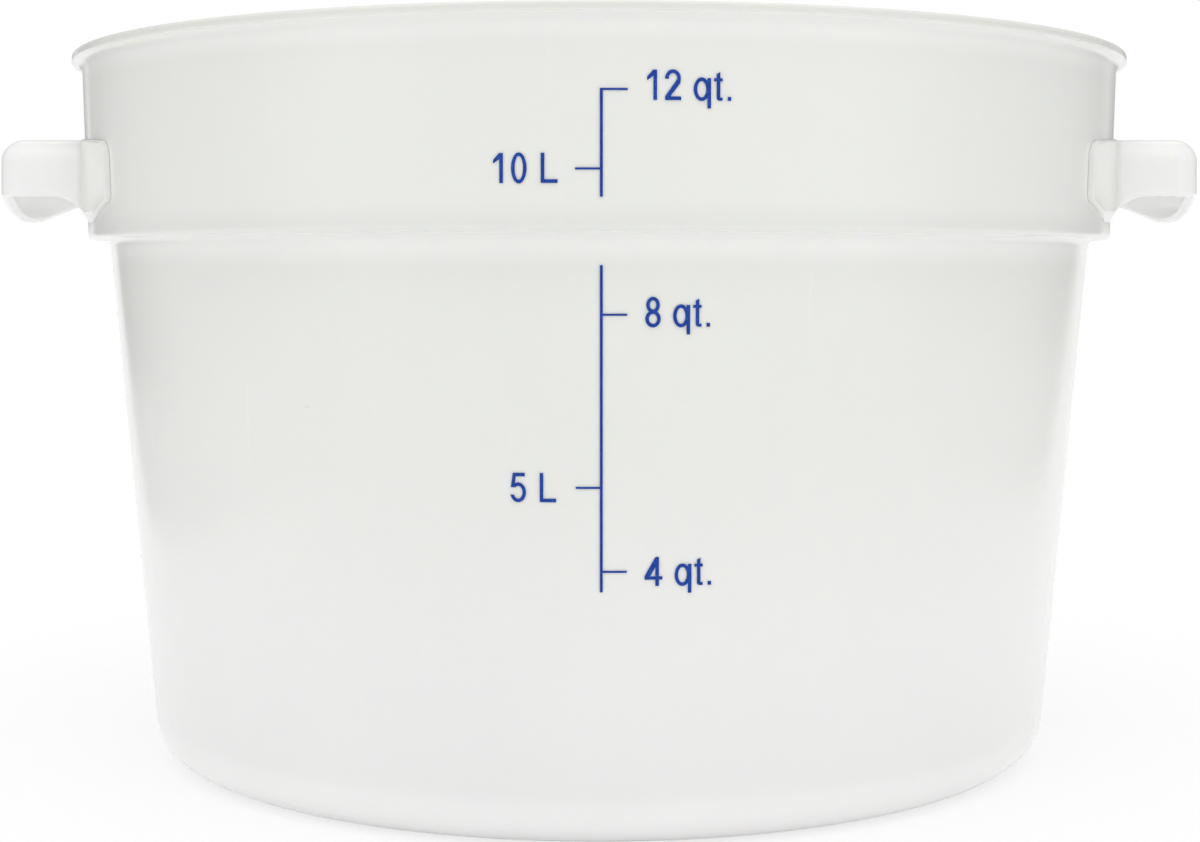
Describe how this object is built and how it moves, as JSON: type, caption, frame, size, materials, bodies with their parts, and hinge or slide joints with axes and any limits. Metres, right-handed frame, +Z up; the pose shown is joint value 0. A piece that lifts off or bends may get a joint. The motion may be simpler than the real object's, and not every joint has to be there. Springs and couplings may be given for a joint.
{
  "type": "dough proofing container",
  "caption": "Round open translucent plastic tub with a stacking shoulder, an outward rim lip, hollow ledge handles and a printed volume scale, for proofing dough or storing food.",
  "frame": {"origin": "centre of the base, at the height of the table that the tub stands on", "axes": "+Z up through the mouth; -Y towards the printed scale, which is the front; the handles lie on -X and +X"},
  "size_m": [0.3578, 0.3184, 0.206],
  "materials": {
    "translucent_polypropylene": "natural translucent white polypropylene, smooth satin gloss, as moulded",
    "blue_ink": "dark blue printed ink, slightly worn"
  },
  "bodies": {
    "root": {"container_body": "translucent_polypropylene", "rim_lip": "translucent_polypropylene", "left_handle": "translucent_polypropylene", "right_handle": "translucent_polypropylene", "upper_scale_stem": "blue_ink", "lower_scale_stem": "blue_ink", "tick_12_quart": "blue_ink", "tick_10_litre": "blue_ink", "tick_8_quart": "blue_ink", "tick_5_litre": "blue_ink", "tick_4_quart": "blue_ink", "label_12_quart": "blue_ink", "label_10_litre": "blue_ink", "label_8_quart": "blue_ink", "label_5_litre": "blue_ink", "label_4_quart": "blue_ink"}
  },
  "joints": []
}
